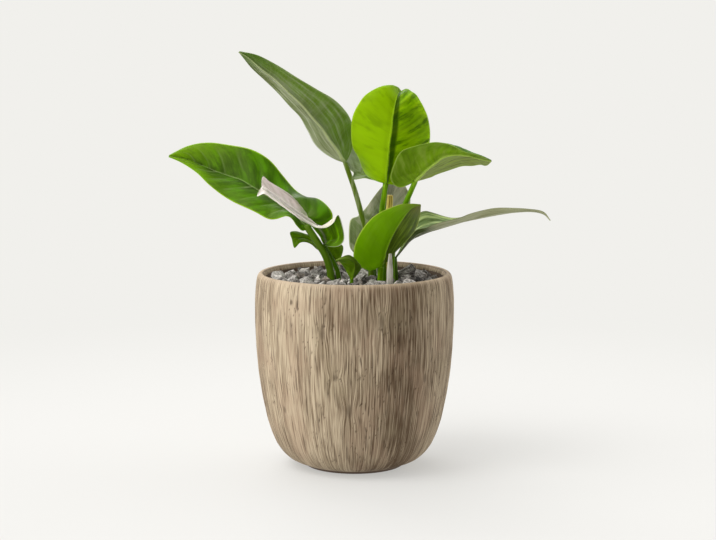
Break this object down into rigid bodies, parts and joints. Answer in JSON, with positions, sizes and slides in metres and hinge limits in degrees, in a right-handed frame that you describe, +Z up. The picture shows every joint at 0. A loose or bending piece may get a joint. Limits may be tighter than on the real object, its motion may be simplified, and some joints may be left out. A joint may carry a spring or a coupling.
{
  "type": "potted philodendron",
  "caption": "Philodendron with long-stalked leaves standing in gravel in a round, barrel-shaped planter with a weathered wood-look finish.",
  "frame": {"origin": "centre of the planter's foot, on the surface that it stands on", "axes": "+Z up along the planter's axis, -Y towards the front of the plant, +X to its right"},
  "size_m": [0.426, 0.219, 0.4566],
  "materials": {
    "planter_finish": "matt, weathered wood-grain relief, brushed with grey",
    "soil": "loose, matt",
    "gravel": "rough broken faces",
    "leaf_grey_green": "satin, greyish underside",
    "leaf_mature": "satin to glossy upper side",
    "leaf_young": "thin, lets light through, satin",
    "sheath_yellow": "papery with a brown streak",
    "sheath_dry": "dry, papery"
  },
  "bodies": {
    "root": {"planter": "planter_finish", "soil": "soil", "gravel": "gravel", "leaf_upper_left": "leaf_grey_green", "leaf_upright": "leaf_young", "leaf_upper_right": "leaf_mature", "leaf_far_right": "leaf_mature", "leaf_left": "leaf_mature", "leaf_folded": "leaf_grey_green", "leaf_low_left": "leaf_mature", "leaf_front": "leaf_young", "leaf_back": "leaf_grey_green", "leaf_behind": "leaf_grey_green", "leaf_new": "leaf_young", "sheath_yellow": "sheath_yellow", "sheath_dry": "sheath_dry"}
  },
  "joints": []
}
